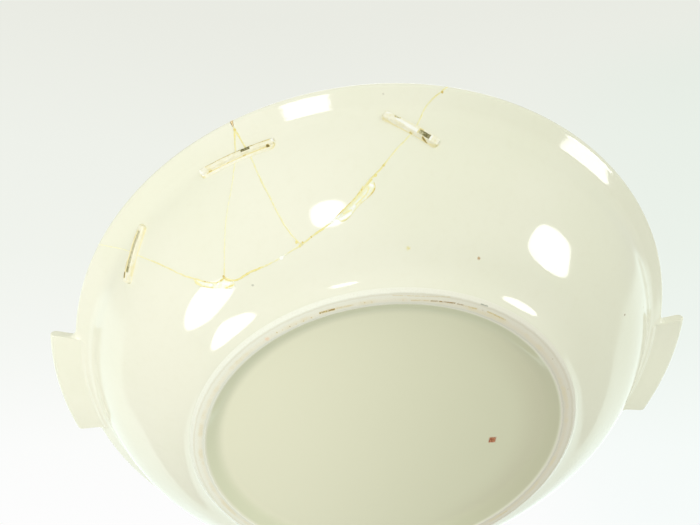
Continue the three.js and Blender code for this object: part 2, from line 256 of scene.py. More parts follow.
def section():
    """Rows: the place at the plain rim, the place in a lug, and how far it follows the lug's outline."""
    slope = Curve(FOOT_SLOPE, start=(1, 0), end=(1, 0))
    rows = alike([(r, RECESS_DEPTH) for r in RECESS_RADII])
    rows += alike(slope.at(np.linspace(0, slope.length, 22)))
    rows += alike(BAND_KNOTS)
    turn = outer.length - RIM_TURN
    marks = np.r_[np.linspace(0, 6.5, 12), np.linspace(6.5, turn, 34)[1:]]
    rows += alike(outer.at(marks), smooth(marks, 12, turn - 1))

    def on_bead(angle):
        return bead_centre + bead_radius * np.array((math.cos(angle), math.sin(angle)))

    bead = [on_bead(RIM_FLARE + a) for a in np.linspace(-math.pi / 2, math.pi / 2, 19)[1:]]
    rim = Curve([*outer.at(np.linspace(turn, outer.length, 9)), *bead])
    lug = Curve([outer.at(turn), *LUG_KNOTS, on_bead(math.pi / 2), on_bead(RIM_FLARE + math.pi / 2)],
                start=outer.direction(turn), end=(-along_rim[0], -along_rim[1]))
    lug_marks = [0.0]
    for first, last, count in ((0, 3, 10), (3, 5, 8), (5, 11, 16), (11, 14, 8), (14, -1, 4)):
        lug_marks += list(np.linspace(lug.knots[first], lug.knots[last], count)[1:])
    rim_marks = rim.length * np.linspace(0, 1, len(lug_marks))
    rows += [(a, b, 1.0) for a, b in zip(rim.at(rim_marks), lug.at(lug_marks))][1:]
    inside = inner_curve()
    marks = np.linspace(0, inside.length, 30)[1:]
    rows += alike(inside.at(marks), 1 - smooth(marks, 1.5, 40))
    return rows + alike([(r, FLOOR_LEVEL) for r in FLOOR_RADII])


def lug_outline():
    """Half a lug in plan, from beyond its end to its middle: angle from its middle, and how much lug."""
    fillet = HANDLE_FILLET / HANDLE_REACH
    turn = math.degrees(HANDLE_FILLET / RIM_RADIUS)
    corner = HANDLE_CORNER / HANDLE_REACH
    corner_turn = math.degrees(HANDLE_CORNER / (RIM_RADIUS + HANDLE_REACH))
    root, end = HANDLE_HALF_ANGLE + 0.12, HANDLE_HALF_ANGLE
    out = [(a, 0.0) for a in (22.5, 20, 17.8, 16.2, root + turn)]
    for i in range(1, 9):
        q = math.pi / 2 * i / 8
        out.append((root + turn * (1 - math.sin(q)), fillet * (1 - math.cos(q))))
    for i in range(1, 5):
        t = i / 5
        out.append((root + (end - root) * t, fillet + (1 - corner - fillet) * t))
    for i in range(7):
        q = math.pi / 2 * i / 6
        out.append((end - corner_turn * (1 - math.cos(q)), 1 - corner * (1 - math.sin(q))))
    last = out[-1][0]
    out += [(last * t, 1.0) for t in (0.95, 0.86, 0.74, 0.6, 0.45, 0.3, 0.15)]
    return out


REACH_ANGLE = 25.0


def columns():
    """Angles for rows away from the rim and for rows that follow the lug, and how much lug."""
    half = lug_outline()
    full = [(-a, w) for a, w in half] + [(0.0, 1.0)] + half[::-1]
    even = np.linspace(-REACH_ANGLE, REACH_ANGLE, len(full) + 2)
    between_lugs = np.linspace(REACH_ANGLE, 180 - REACH_ANGLE, 105)[:-1]
    out = []
    for middle in (90.0, 270.0):
        out.append((middle - REACH_ANGLE, middle - REACH_ANGLE, 0.0))
        out += [(middle + e, middle + a, w) for (a, w), e in zip(full, even[1:-1])]
        out += [(middle + a, middle + a, 0.0) for a in between_lugs]
    return out


def grid_mesh(rows, cols):
    """Vertices and faces of the closed body."""
    verts, faces = [], []
    e, a, w = (np.array(v) for v in zip(*cols))
    index = []
    for plain, lug, follow in rows:
        if plain[0] < 1e-6:
            index.append([len(verts)])
            verts.append((0, 0, plain[1]))
            continue
        angle = np.radians(e + (a - e) * follow)
        r = plain[0] + (lug[0] - plain[0]) * w
        z = plain[1] + (lug[1] - plain[1]) * w
        index.append(list(range(len(verts), len(verts) + len(cols))))
        verts += list(zip(r * np.sin(angle), -r * np.cos(angle), z))
    n = len(cols)
    for low, high in zip(index[:-1], index[1:]):
        for i in range(n):
            j = (i + 1) % n
            if len(low) == 1:
                faces.append((low[0], high[j], high[i]))
            elif len(high) == 1:
                faces.append((low[i], low[j], high[0]))
            else:
                faces.append((low[i], low[j], high[j], high[i]))
    return verts, faces


# Meshes and cutting


def add(name, data):
    """A new object in the scene."""
    ob = bpy.data.objects.new(name, data)
    bpy.context.scene.collection.objects.link(ob)
    return ob


def set_values(mesh, key, values):
    mesh.attributes.new(key, "FLOAT", "POINT").data.foreach_set("value", np.array(values, np.float32))


def mesh_of(name, verts, faces):
    """An object in metres from points in millimetres."""
    mesh = bpy.data.meshes.new(name)
    mesh.from_pydata([tuple(c * MM for c in v) for v in verts], [], faces)
    mesh.polygons.foreach_set("use_smooth", [True] * len(mesh.polygons))
    mesh.update()
    return add(name, mesh)


def cut(ob, operation, cutter):
    """Cuts with another body, which then goes."""
    mod = ob.modifiers.new("cut", "BOOLEAN")
    mod.operation, mod.object, mod.solver = operation, cutter, "MANIFOLD"
    graph = bpy.context.evaluated_depsgraph_get()
    made = bpy.data.meshes.new_from_object(ob.evaluated_get(graph))
    ob.modifiers.clear()
    ob.data = made
    bpy.data.objects.remove(cutter)


def resample(line, step, wobble=0.0, seed=0):
    """The line in even short steps, with a slight tremor that leaves its ends alone."""
    curve = Curve(np.array(line, float) * FLAT, fineness=12)
    s = np.linspace(0, curve.length, max(2, round(curve.length / step)) + 1)
    shake = np.array([hum(x * 0.55 + 7.3 * seed, 3.1 * seed) + 0.5 * hum(x * 1.7 + 5.3 * seed, 9.1 * seed)
                      for x in s])
    fade = np.minimum(1, np.minimum(s, curve.length - s) / 2.5)
    p = curve.at(s) + turned(curve.direction(s)) * (wobble * shake * fade)[:, None]
    return [tuple(v) for v in p / FLAT]


def anticlockwise(outline):
    a = np.array(outline, float)
    area = (a[:, 0] * np.roll(a[:, 1], -1) - np.roll(a[:, 0], -1) * a[:, 1]).sum()
    return list(outline) if area > 0 else list(outline)[::-1]


def ring_of(outline, step):
    """A closed outline in even steps, anticlockwise."""
    return anticlockwise(resample(outline + outline[:1], step)[:-1])


def grown(outline, distance):
    """The outline moved outwards by this distance."""
    p = np.array(outline, float) * FLAT
    a, b = turned(unit(p - np.roll(p, 1, 0))), turned(unit(np.roll(p, -1, 0) - p))
    m = unit(a + b)
    p = p + m * (distance / np.maximum((m * b).sum(1), 0.35))[:, None]
    return [tuple(v) for v in p / FLAT]


def block(name, outline, near, far):
    """A closed block between two sheets of points on one anticlockwise outline."""
    flat = [Vector((a * PER_DEGREE, p * PER_PERCENT, 0)) for a, p in outline]
    n = len(flat)
    faces = []
    for a, b, c in geometry.tessellate_polygon([flat]):
        ab, ac = flat[b] - flat[a], flat[c] - flat[a]
        if ab.x * ac.y - ab.y * ac.x < 0:
            b, c = c, b
        faces += [(a + n, b + n, c + n), (c, b, a)]
    faces += [(i, (i + 1) % n, (i + 1) % n + n, i + n) for i in range(n)]
    return mesh_of(name, list(near) + list(far), faces)


def break_block(outline, distance):
    """A block over an outline on the wall, with sides that run through the wall from one centre."""
    edge = grown(anticlockwise(outline), distance)
    out = on_places(edge) - BREAK_CENTRE
    return block("break", edge, *(BREAK_CENTRE + out * share for share in BREAK_SPAN))


def chip_block(outline):
    """A block over a chip, narrower at its bottom."""
    edge = ring_of(outline, 0.6)
    bottom = on_places(grown(edge, -CHIP_TAPER), -CHIP_DEPTH)
    return block("chip", edge, bottom, on_places(edge, ABOVE_WALL))


def over_rim(start, end):
    count = math.ceil(abs(end - start) / 2)
    return [(start + (end - start) * i / count, ABOVE_RIM) for i in range(1, count)]


CRACK_STEP = 0.9
CRACK_WOBBLE = 0.16
ABOVE_RIM = 122
left_line, bottom_line, right_line, vertical_line, diagonal_line = CRACK_LINES = [
    resample(line, CRACK_STEP, CRACK_WOBBLE, seed) for seed, line in enumerate(
        (LEFT_CRACK, BOTTOM_CRACK, RIGHT_CRACK, VERTICAL_CRACK, DIAGONAL_CRACK), 1)]

left_top, right_top, notch_top = left_line[0][0], right_line[-1][0], NOTCH_APEX[0]
above_notch = [(notch_top, ABOVE_RIM)]
SHERDS = {
    "left": left_line + vertical_line[:-1][::-1] + above_notch + over_rim(notch_top, left_top),
    "middle": bottom_line + diagonal_line[:-1][::-1] + vertical_line[1:-1],
    "right": diagonal_line[:-1] + right_line + over_rim(right_top, notch_top) + above_notch,
}
BREAK = left_line[:-1] + bottom_line + right_line[1:] + over_rim(right_top, left_top)

whole = mesh_of("whole", *grid_mesh(section(), columns()))


class Surface:
    """The unbroken bowl, for finding the nearest place on it and its smooth normal there."""

    def __init__(self, ob):
        mesh = ob.data
        mesh.calc_loop_triangles()
        self.tris = [tuple(t.vertices) for t in mesh.loop_triangles]
        self.co = [v.co.copy() for v in mesh.vertices]
        self.normal = [v.normal.copy() for v in mesh.vertices]
        self.tree = BVHTree.FromPolygons(self.co, self.tris)

    def normal_at(self, point):
        place, _, index, distance = self.tree.find_nearest(point)
        a, b, c = self.tris[index]
        w = geometry.barycentric_transform(
            place, self.co[a], self.co[b], self.co[c], self.normal[a], self.normal[b], self.normal[c])
        return w.normalized(), distance

    def hit(self, start, direction):
        return self.tree.ray_cast(start, direction)[0]


surface = Surface(whole)
SAME_PLACE = 2e-5  # metres
SAME_WAY = 0.8


def finish_shards(ob, glaze, fracture):
    """Glazed faces take the unbroken bowl's smooth normals, and broken faces stay flat."""
    mesh = ob.data
    mesh.materials.clear()
    mesh.materials.append(glaze)
    mesh.materials.append(fracture)
    normals, cache = [Vector((0, 0, 1))] * len(mesh.loops), {}
    mesh.polygons.foreach_set("use_smooth", [True] * len(mesh.polygons))
    for poly in mesh.polygons:
        normal, distance = surface.normal_at(poly.center)
        glazed = distance < SAME_PLACE and normal.dot(poly.normal) > SAME_WAY
        poly.material_index = 0 if glazed else 1
        for loop in poly.loop_indices:
            v = mesh.loops[loop].vertex_index
            if glazed and v not in cache:
                cache[v] = surface.normal_at(mesh.vertices[v].co)[0]
            normals[loop] = cache[v] if glazed else poly.normal.copy()
    mesh.normals_split_custom_set(normals)


# Materials


def rgb(r, g, b):
    """A colour as it looks on screen, to the linear numbers that shaders take."""
    return tuple((c / 12.92 if c <= 0.04045 else ((c + 0.055) / 1.055) ** 2.4) for c in (r, g, b)) + (1.0,)


class Nodes:
    """Short ways of adding nodes to a tree. Three numbers for a colour are as it looks on screen."""

    def __init__(self, tree):
        self.tree = tree

    def join(self, value, socket):
        if isinstance(value, bpy.types.NodeSocket):
            self.tree.links.new(value, socket)
        elif value is not None:
            screen = socket.type == "RGBA" and len(value) == 3
            socket.default_value = rgb(*value) if screen else value

    def node(self, kind, *inputs, sockets=(), **settings):
        n = self.tree.nodes.new("ShaderNode" + kind)
        for key, value in settings.items():
            setattr(n, key, value)
        for key, value in [*enumerate(inputs), *dict(sockets).items()]:
            self.join(value, n.inputs[key])
        return n

    def math(self, operation, a, b=0.0, c=0.0, clamp=False):
        return self.node("Math", a, b, c, operation=operation, use_clamp=clamp).outputs[0]

    def times(self, a, *others):
        for b in others:
            a = self.math("MULTIPLY", a, b)
        return a

    def plus(self, a, b, clamp=False):
        return self.math("ADD", a, b, clamp=clamp)

    def centred(self, value, size):
        """A noise made to swing about nought."""
        return self.math("MULTIPLY_ADD", value, size, -size / 2)

    def vector(self, operation, a, b=None, out=0):
        return self.node("VectorMath", a, b, operation=operation).outputs[out]

    def scaled(self, a, size):
        return self.node("VectorMath", a, operation="SCALE", sockets={"Scale": size}).outputs[0]

    def span(self, value, low, high, to_low=0.0, to_high=1.0, kind="SMOOTHSTEP"):
        return self.node("MapRange", value, low, high, to_low, to_high, interpolation_type=kind).outputs[0]

    def mix(self, share, a, b, blend="MIX"):
        n = self.node("Mix", sockets={0: share, 6: a, 7: b}, data_type="RGBA", blend_type=blend)
        return n.outputs[2]

    def ramp(self, value, keys):
        n = self.node("ValToRGB", value)
        elements = n.color_ramp.elements
        while len(elements) < len(keys):
            elements.new(0.5)
        for element, (at, *colour) in zip(elements, keys):
            element.position, element.color = at, rgb(*colour)
        return n.outputs[0]


class Paint(Nodes):
    """A material and short ways of adding nodes to it."""

    def __init__(self, name, **constants):
        self.material = bpy.data.materials.new(name)
        self.material.use_nodes = True
        super().__init__(self.material.node_tree)
        self.shader = self.tree.nodes["Principled BSDF"]
        self.place = self.scaled(self.node("TexCoord").outputs["Object"], 1 / MM)
        for key, value in constants.items():
            self.set(key, value)

    def set(self, socket, value):
        self.join(value, self.shader.inputs[socket])

    def noise(self, scale, detail=2.0, roughness=0.5):
        return self.node("TexNoise", self.place, sockets={
            "Scale": scale, "Detail": detail, "Roughness": roughness}).outputs[0]

    def distance(self, a, b):
        """Distance in millimetres from the straight line between two places."""
        a, b = Vector(a), Vector(b)
        way = b - a
        from_a = self.vector("SUBTRACT", self.place, a)
        if way.length < 0.01:
            return self.vector("LENGTH", from_a, out=1)
        share = self.math("MULTIPLY", self.vector("DOT_PRODUCT", from_a, way, out=1),
                          1 / way.length_squared, clamp=True)
        return self.vector("LENGTH", self.vector("SUBTRACT", from_a, self.scaled(way, share)), out=1)

    def attribute(self, name):
        return self.node("Attribute", attribute_name=name).outputs["Fac"]

    def bump(self, height, distance):
        self.set("Normal", self.node("Bump", sockets={
            "Strength": 1.0, "Distance": distance, "Height": height}).outputs[0])

    def finish(self, base, rough, low, high, height, distance):
        """Colour, a roughness that follows a noise, and bumps. Gives back the material."""
        self.set("Base Color", base)
        self.set("Roughness", self.span(rough, 0.3, 0.7, low, high))
        self.bump(height, distance)
        return self.material


# Marks on the bare foot band and in the glaze: colour, strength, radius in millimetres and the
# places that each runs through
RUST = (0.62, 0.50, 0.22)
AMBER = (0.82, 0.74, 0.46)
GREY = (0.55, 0.56, 0.48)
PEACH = (0.93, 0.80, 0.66)
BAND_MARKS = [
    (AMBER, 0.8, 0.51, [(-24.6, -63.9), (-20.4, -65.2)]),
    (AMBER, 0.45, 0.41, [(-20, -65.4), (-14.5, -66.7)]), (RUST, 1, 0.29, [(-24.7, -63.8), (-23.4, -64.3)]),
    (RUST, 1, 0.34, [(-22.6, -64.5), (-20.4, -65.2)]), (RUST, 0.8, 0.27, [(10.2, -67.5), (12.4, -67.3)]),
    (RUST, 0.9, 0.31, [(13, -67.2), (17.9, -66.4)]), (RUST, 0.7, 0.27, [(18.8, -66.1), (20.6, -65.6)]),
    (AMBER, 0.7, 0.34, [(21, -65.3), (25.2, -64)]), (AMBER, 0.8, 0.34, [(29, -62.8), (35.4, -59.3)]),
    (AMBER, 0.5, 0.31, [(4, -67.9), (9.4, -67.7)]), (AMBER, 0.4, 0.27, [(-2, -70), (16, -68.8)]),
    (AMBER, 0.9, 0.31, [(-38.5, -56.6)]), (AMBER, 0.8, 0.24, [(-36.7, -57.5)]),
    (RUST, 0.8, 0.24, [(-34.3, -58.9)]), (AMBER, 0.8, 0.27, [(-32.2, -59.8)]),
    (AMBER, 0.9, 0.27, [(-29.9, -60.9)]), (AMBER, 0.8, 0.31, [(-27.4, -62.1)]),
    (AMBER, 0.8, 0.34, [(-10.8, -67.5)]), (AMBER, 0.9, 0.41, [(-8.6, -67.6)]),
    (AMBER, 0.6, 0.27, [(1.3, -68.1)]), (RUST, 0.6, 0.24, [(27.4, -63.4)]),
    (RUST, 0.55, 0.27, [(55.1, -42)]), (RUST, 0.5, 0.27, [(64, -27.7)]), (PEACH, 0.6, 1, [(-41.7, -54)]),
    (GREY, 0.7, 0.31, [(26.4, -65.8), (28.6, -64.9)]), (AMBER, 0.35, 0.27, [(-60.5, -32.2)]),
    (AMBER, 0.3, 0.34, [(-65.4, -20.6)]), (AMBER, 0.3, 0.27, [(-69, 2.7)]),
    (AMBER, 0.7, 0.31, [(-20, 65.4), (-14, 67)]), (RUST, 0.5, 0.27, [(31, 61)]),
    (AMBER, 0.5, 0.34, [(-48, 49)]), (AMBER, 0.5, 0.31, [(52, 44.5), (55, 41)]),
]
GLAZE_MARKS = [
    ((0.9, 0.86, 0.55), 0.8, 0.8, [(1.9, 12.2)]), ((0.72, 0.56, 0.3), 0.8, 0.6, [(18.1, 12)]),
    ((0.6, 0.47, 0.3), 0.8, 0.5, [(61.4, 43.9)]), ((0.75, 0.68, 0.5), 0.5, 0.6, [(66.8, 68)]),
    ((0.55, 0.5, 0.4), 0.6, 0.4, [(-1.6, 96.7)]), ((0.66, 0.66, 0.58), 0.6, 0.5, [(-33.3, 14.1)]),
    ((0.72, 0.6, 0.38), 0.6, 0.5, [(152, 40)]), ((0.7, 0.66, 0.5), 0.5, 0.5, [(-140, 66)]),
]
RUST_DAB = [(41.6, 0.4), (44.3, 3.4)]
# The bare band from its inner to its outer edge
BAND_EDGES = (66.4, 72.4)
RINGS = [
    (0, 0.955, 0.955, 0.9), (0.07, 0.95, 0.95, 0.895), (0.11, 0.885, 0.89, 0.825),
    (0.17, 0.915, 0.91, 0.845), (0.3, 0.93, 0.918, 0.84), (0.42, 0.94, 0.935, 0.868),
    (0.58, 0.94, 0.94, 0.878), (0.66, 0.912, 0.905, 0.83), (0.7, 0.92, 0.915, 0.84),
    (0.76, 0.953, 0.955, 0.9), (1, 0.955, 0.96, 0.9),
]


def glaze_paint():
    p = Paint("ivory_glaze", IOR=1.52)
    fine = p.noise(0.35, 3.0, 0.6)
    base = p.mix(p.span(p.noise(0.018, 3.0, 0.55), 0.35, 0.65), (0.93, 0.925, 0.85), (0.92, 0.918, 0.835))
    base = p.mix(p.span(fine, 0.45, 0.85, 0, 0.1), base, (0.87, 0.85, 0.74))
    x, y, z = p.node("SeparateXYZ", p.place).outputs
    radius = p.math("SQRT", p.plus(p.times(x, x), p.times(y, y)))
    r = p.plus(radius, p.centred(p.noise(0.5, 3.0), 0.7))
    ragged = p.centred(p.noise(2.4, 3.0, 0.65), 0.9)
    # the recess under the base, painted in shade: darker than the wall and darker towards +X, with a ring of
    # painted shade in its corner and a wide painted shadow on its +X side
    under = p.span(z, 6.0, 7.0, 1, 0)
    inside = p.times(p.span(radius, 65.6, 66.4, 1, 0), under)
    base = p.mix(inside, base, p.mix(p.span(x, -60, 60), (0.91, 0.905, 0.80), (0.86, 0.86, 0.745)))
    # painted shade: a greener, darker ring in the recess's corner
    base = p.mix(p.times(p.span(radius, 59.5, 64.0), inside, 0.42), base, (0.80, 0.825, 0.69))
    # painted shadow: a wide brownish darkening over the recess's +X side
    shade = p.times(p.span(x, 15, 58), p.span(radius, 48, 61), inside, 0.55)
    base = p.mix(shade, base, (0.815, 0.80, 0.69))
    # the bare band that the bowl stands on: rings of pale, stained and grey clay
    band = p.times(p.span(r, 66.4, 66.7), p.span(r, 72.2, 72.5, 1, 0), p.span(z, 1.1, 1.5, 1, 0))
    grain = p.noise(2.2, 4.0, 0.65)
    rings = p.ramp(p.span(r, *BAND_EDGES, kind="LINEAR"), RINGS)
    # painted shade: the bare band darker and a little pinker towards +X
    bare = p.mix(p.span(x, -40, 60), rings, (0.90, 0.865, 0.85, 1), "MULTIPLY")
    bare = p.mix(p.span(grain, 0.42, 0.75, 0, 0.3), bare, (0.86, 0.83, 0.75))
    stained = p.times(p.span(r, 67.2, 67.8), p.span(r, 68.6, 69.4, 1, 0),
                      p.span(p.noise(0.14, 2.0), 0.45, 0.65, 0.05, 0.6), p.span(grain, 0.25, 0.6, 0.3, 1))
    base = p.mix(band, base, p.mix(stained, bare, (0.89, 0.85, 0.71)))
    patchy = p.span(p.noise(1.1, 2.0), 0.36, 0.56, 0.35, 1)
    marks = [(*mark, [(*place, 0.0) for place in line]) for *mark, line in BAND_MARKS]
    marks += [(*mark, list(on_places(line))) for *mark, line in GLAZE_MARKS]
    for colour, strength, size, line in marks:
        for a, b in zip(line, line[1:] or line):
            off = p.plus(p.distance(a, b), p.times(ragged, 1.5 * size))
            base = p.mix(p.times(p.span(off, 0.3 * size, 1.2 * size, strength, 0), patchy), base, colour)
    # a square dab of rust on the floor of the recess
    beyond = [p.plus(p.math("ABSOLUTE", p.plus(at, -(low + high) / 2)), -(high - low) / 2)
              for at, low, high in zip((x, y), *RUST_DAB)]
    reach = p.plus(p.math("MAXIMUM", *beyond), p.times(ragged, 1.4))
    dab = p.times(p.span(reach, -0.35, 0.3, 1, 0), under)
    base = p.mix(dab, base, p.mix(p.span(grain, 0.4, 0.62), (0.56, 0.27, 0.13), (0.82, 0.58, 0.42)))
    p.set("Base Color", base)
    bare = p.math("MAXIMUM", band, dab)
    p.set("Roughness", p.plus(p.span(fine, 0.3, 0.8, 0.045, 0.08), p.times(bare, 0.7)))
    p.bump(p.plus(p.noise(0.05, 1.0), p.times(grain, band, 0.5)), 0.00012)
    return p.material


def grainy_paint(name, scale, roughness, dark, light, low, high, distance):
    p = Paint(name)
    grain = p.noise(scale, 4.0, roughness)
    return p.finish(p.mix(p.span(grain, 0.3, 0.7), dark, light), grain, low, high, grain, distance)


def glue_paint():
    p = Paint("yellowed_glue", IOR=1.5)
    grain = p.noise(0.9, 3.0, 0.6)
    tone = p.plus(p.attribute("tone"), p.centred(grain, 0.5), clamp=True)
    # tone 0, near white, also paints highlights on the glue
    base = p.ramp(tone, [(0.0, 0.985, 0.985, 0.97), (0.12, 0.94, 0.945, 0.87), (0.3, 0.94, 0.925, 0.75),
                         (0.55, 0.925, 0.875, 0.56), (0.78, 0.80, 0.69, 0.34), (1.0, 0.52, 0.42, 0.19)])
    return p.finish(base, grain, 0.18, 0.4, grain, 0.00005)


def putty_paint():
    p = Paint("cream_putty", IOR=1.48)
    grain = p.noise(1.3, 4.0, 0.6)
    fine = p.noise(4.0, 3.0, 0.6)
    dirt_and_painted_light = p.plus(p.attribute("dirt_and_painted_light"), p.centred(grain, 0.24), clamp=True)
    # the ramp's lowest value, near white, paints highlights on the putty
    base = p.ramp(dirt_and_painted_light, [(0.0, 0.98, 0.975, 0.94), (0.2, 0.94, 0.925, 0.825), (0.4, 0.93, 0.885, 0.66),
                         (0.6, 0.83, 0.76, 0.47), (0.8, 0.62, 0.54, 0.30), (1.0, 0.40, 0.37, 0.19)])
    return p.finish(base, fine, 0.28, 0.55, p.plus(p.times(grain, 0.7), p.times(fine, 0.3)), 0.0002)


def metal_paint():
    p = Paint("tarnished_metal", Metallic=0.75)
    fine = p.noise(7.0, 3.0, 0.6)
    patches = p.span(p.noise(1.6, 4.0, 0.65), 0.35, 0.65, -0.35, 0.35)
    tarnish = p.plus(patches, p.attribute("wear"), clamp=True)
    base = p.ramp(tarnish, [(0.0, 0.90, 0.88, 0.76), (0.4, 0.76, 0.74, 0.57), (1.0, 0.50, 0.47, 0.30)])
    base = p.mix(p.span(fine, 0.55, 0.75, 0, 0.5), base, (0.42, 0.39, 0.24))
    return p.finish(base, fine, 0.3, 0.55, fine, 0.00006)


# Glue, staples and putty, as closed bodies


def solid(name, bodies, key, paint):
    """One mesh of closed bodies, turned to face outwards, with a number for each vertex."""
    verts, faces, values = [], [], []
    for points, sides, numbers in bodies:
        at = np.array(points, float)
        at = at - at.mean(0)
        volume = sum(float(at[f[0]] @ np.cross(at[b], at[c])) for f in sides for b, c in zip(f[1:], f[2:]))
        step, base = -1 if volume < 0 else 1, len(verts)
        verts += [tuple(v) for v in points]
        faces += [tuple(i + base for i in f[::step]) for f in sides]
        values += list(np.broadcast_to(numbers, len(points)))
    ob = mesh_of(name, verts, faces)
    set_values(ob.data, key, values)
    ob.data.materials.append(paint)
    return ob


def tube(rings):
    """A closed body through rings of points, all with as many points."""
    n, m = rings.shape[:2]
    verts = rings.reshape(-1, 3).tolist()
    faces = []
    for i in range(n - 1):
        for j in range(m):
            k = (j + 1) % m
            faces.append((i * m + j, i * m + k, (i + 1) * m + k, (i + 1) * m + j))
    last = (n - 1) * m
    verts += [rings[0].mean(0).tolist(), rings[-1].mean(0).tolist()]
    for j in range(m):
        k = (j + 1) % m
        faces += [(k, j, n * m), (last + j, last + k, n * m + 1)]
    return verts, faces


def slab(top, bottom):
    """A closed body between two sheets of points laid out in rows."""
    n, m = top.shape[:2]
    verts = np.concatenate([top.reshape(-1, 3), bottom.reshape(-1, 3)])
    under = n * m
    faces = []
    for i in range(n - 1):
        for j in range(m - 1):
            a, b, c, d = i * m + j, (i + 1) * m + j, (i + 1) * m + j + 1, i * m + j + 1
            faces += [(a, b, c, d), (d + under, c + under, b + under, a + under)]
    edge = [(i, 0) for i in range(n)] + [(n - 1, j) for j in range(1, m)]
    edge += [(i, m - 1) for i in range(n - 2, -1, -1)] + [(0, j) for j in range(m - 2, 0, -1)]
    ring = [i * m + j for i, j in edge]
    faces += [(b, a, a + under, b + under) for a, b in zip(ring, ring[1:] + ring[:1])]
    return verts, faces


BEAD_SHAPE = [(-1, -1), (-1, 0), (-0.6, 0.72), (0, 1), (0.6, 0.72), (1, 0), (1, -1)]
GLUE_SUNK = 0.1


def bead(path, half_widths, heights):
    """A low round bead along a path on the surface: points and the normals there."""
    points, normals = np.array([p for p, _ in path]), np.array([n for _, n in path])
    travel = np.gradient(points, axis=0)
    side = unit(np.cross(travel, normals))
    rings = []
    for across, up in BEAD_SHAPE:
        lift = heights * up if up >= 0 else -GLUE_SUNK + 0 * heights
        rings.append(points + side * (across * half_widths)[:, None] + normals * lift[:, None])
    return tube(np.stack(rings, 1))


def dome(place, normal, radius, height, seed):
    """A small round lump of glue on the surface."""
    normal = np.array(normal, float)
    a = unit(np.cross(normal, (0.3, 0.2, 1.0)))
    b = np.cross(normal, a)
    rings = []
    for q, lift in ((1, -GLUE_SUNK), (1, 0), (0.85, 0.5), (0.55, 0.85), (0.2, 1)):
        ring = []
        for t in np.arange(14) * math.pi / 7:
            x, y = math.cos(t), math.sin(t)
            r = radius * q * (1 + 0.28 * hum(1.3 * x, 1.3 * y, seed * 3.7))
            ring.append(place + r * (x * a + y * b) + normal * (lift * height if lift >= 0 else lift))
        rings.append(ring)
    return tube(np.array(rings))


def crack_hit(degrees, percent):
    """Where a crack's face leaves the inside and the outside of the bowl, each with its normal."""
    way = unit(on_wall(degrees, percent) - BREAK_CENTRE)
    first = surface.hit(Vector(BREAK_CENTRE) * MM, Vector(way))
    second = first and surface.hit(first + Vector(way) * SAME_PLACE, Vector(way))
    return second and [(np.array(p) / MM, np.array(surface.normal_at(p)[0])) for p in (first, second)]


def crack_paths(line):
    """The lines that a crack draws on the bowl: one over the rim, or one outside and one inside."""
    places = [np.array(p) for p in line]
    if not crack_hit(*places[0]):
        places = places[::-1]
    hits = []
    for i, place in enumerate(places):
        hit = crack_hit(*place)
        if hit:
            hits.append(hit)
            continue
        # past the rim: closer and closer to the last place where the crack meets the bowl
        low, high = places[i - 1], place
        for _ in range(12):
            middle = (low + high) / 2
            hit = crack_hit(*middle)
            if hit:
                low = middle
                hits.append(hit)
            else:
                high = middle
        return [[h[1] for h in hits] + [h[0] for h in hits[::-1]]]
    return [[h[1] for h in hits], [h[0] for h in hits]]


def nearest(points, path):
    """For each point its distance from a path of straight steps."""
    points, path = np.atleast_2d(points), np.asarray(path, float)
    best = np.full(len(points), 1e9)
    for a, b in zip(path[:-1], path[1:]):
        d = b - a
        t = np.clip((points - a) @ d / max(d @ d, 1e-9), 0, 1)
        best = np.minimum(best, np.linalg.norm(points - a - t[:, None] * d, axis=1))
    return best


# Glue that has yellowed: places along the cracks with a tone and a width there. A tone runs
# from 0, whitish, by 0.3, pale yellow, to 1, brown.
TONES = [
    ((-56.7, 100), 0.24, 0.19), ((-53, 82), 0.24, 0.19), ((-50, 66), 0.3, 0.2), ((-48.3, 57.4), 0.42, 0.26),
    ((-46, 46.7), 0.4, 0.24), ((-43.7, 37.4), 0.44, 0.26), ((-40, 27.5), 0.35, 0.22),
    ((-36.7, 22.7), 0.45, 0.28), ((-33.9, 21), 0.5, 0.34), ((-31.1, 20), 0.5, 0.34),
    ((-28.5, 20), 0.36, 0.24), ((-26.2, 20.3), 0.3, 0.2), ((-24.7, 20.4), 0.04, 0.3),
    ((-22.6, 21.5), 0.3, 0.2), ((-20.3, 22.8), 0.4, 0.24), ((-17.6, 25.3), 0.46, 0.26),
    # the whitish tones at (-13.2, 30) and (-12.2, 31.4), beside the right chip, are a painted highlight
    ((-15.7, 27.2), 0.52, 0.32), ((-14.1, 28.8), 0.46, 0.28), ((-13.2, 30), 0.04, 0.3),
    ((-12.2, 31.4), 0.05, 0.3), ((-10, 35.4), 0.3, 0.22), ((-7, 42.8), 0.34, 0.24),
    ((-4.6, 49.2), 0.5, 0.3), ((-3.2, 53.3), 0.46, 0.26), ((-1, 61), 0.36, 0.22), ((2.3, 73), 0.34, 0.22),
    ((4.4, 85.8), 0.34, 0.24), ((6.8, 98), 0.4, 0.24), ((-25.6, 93), 0.46, 0.28), ((-26.6, 84), 0.3, 0.22),
    ((-29, 65), 0.26, 0.2), ((-33, 46), 0.26, 0.22), ((-36, 34), 0.3, 0.22), ((-24.8, 90), 0.42, 0.26),
    ((-24.1, 79), 0.32, 0.24), ((-23.2, 58), 0.34, 0.28), ((-22.2, 38.6), 0.32, 0.26),
    ((-21, 27), 0.36, 0.24),
]
TONE_PLACES = on_places([place for place, _, _ in TONES])
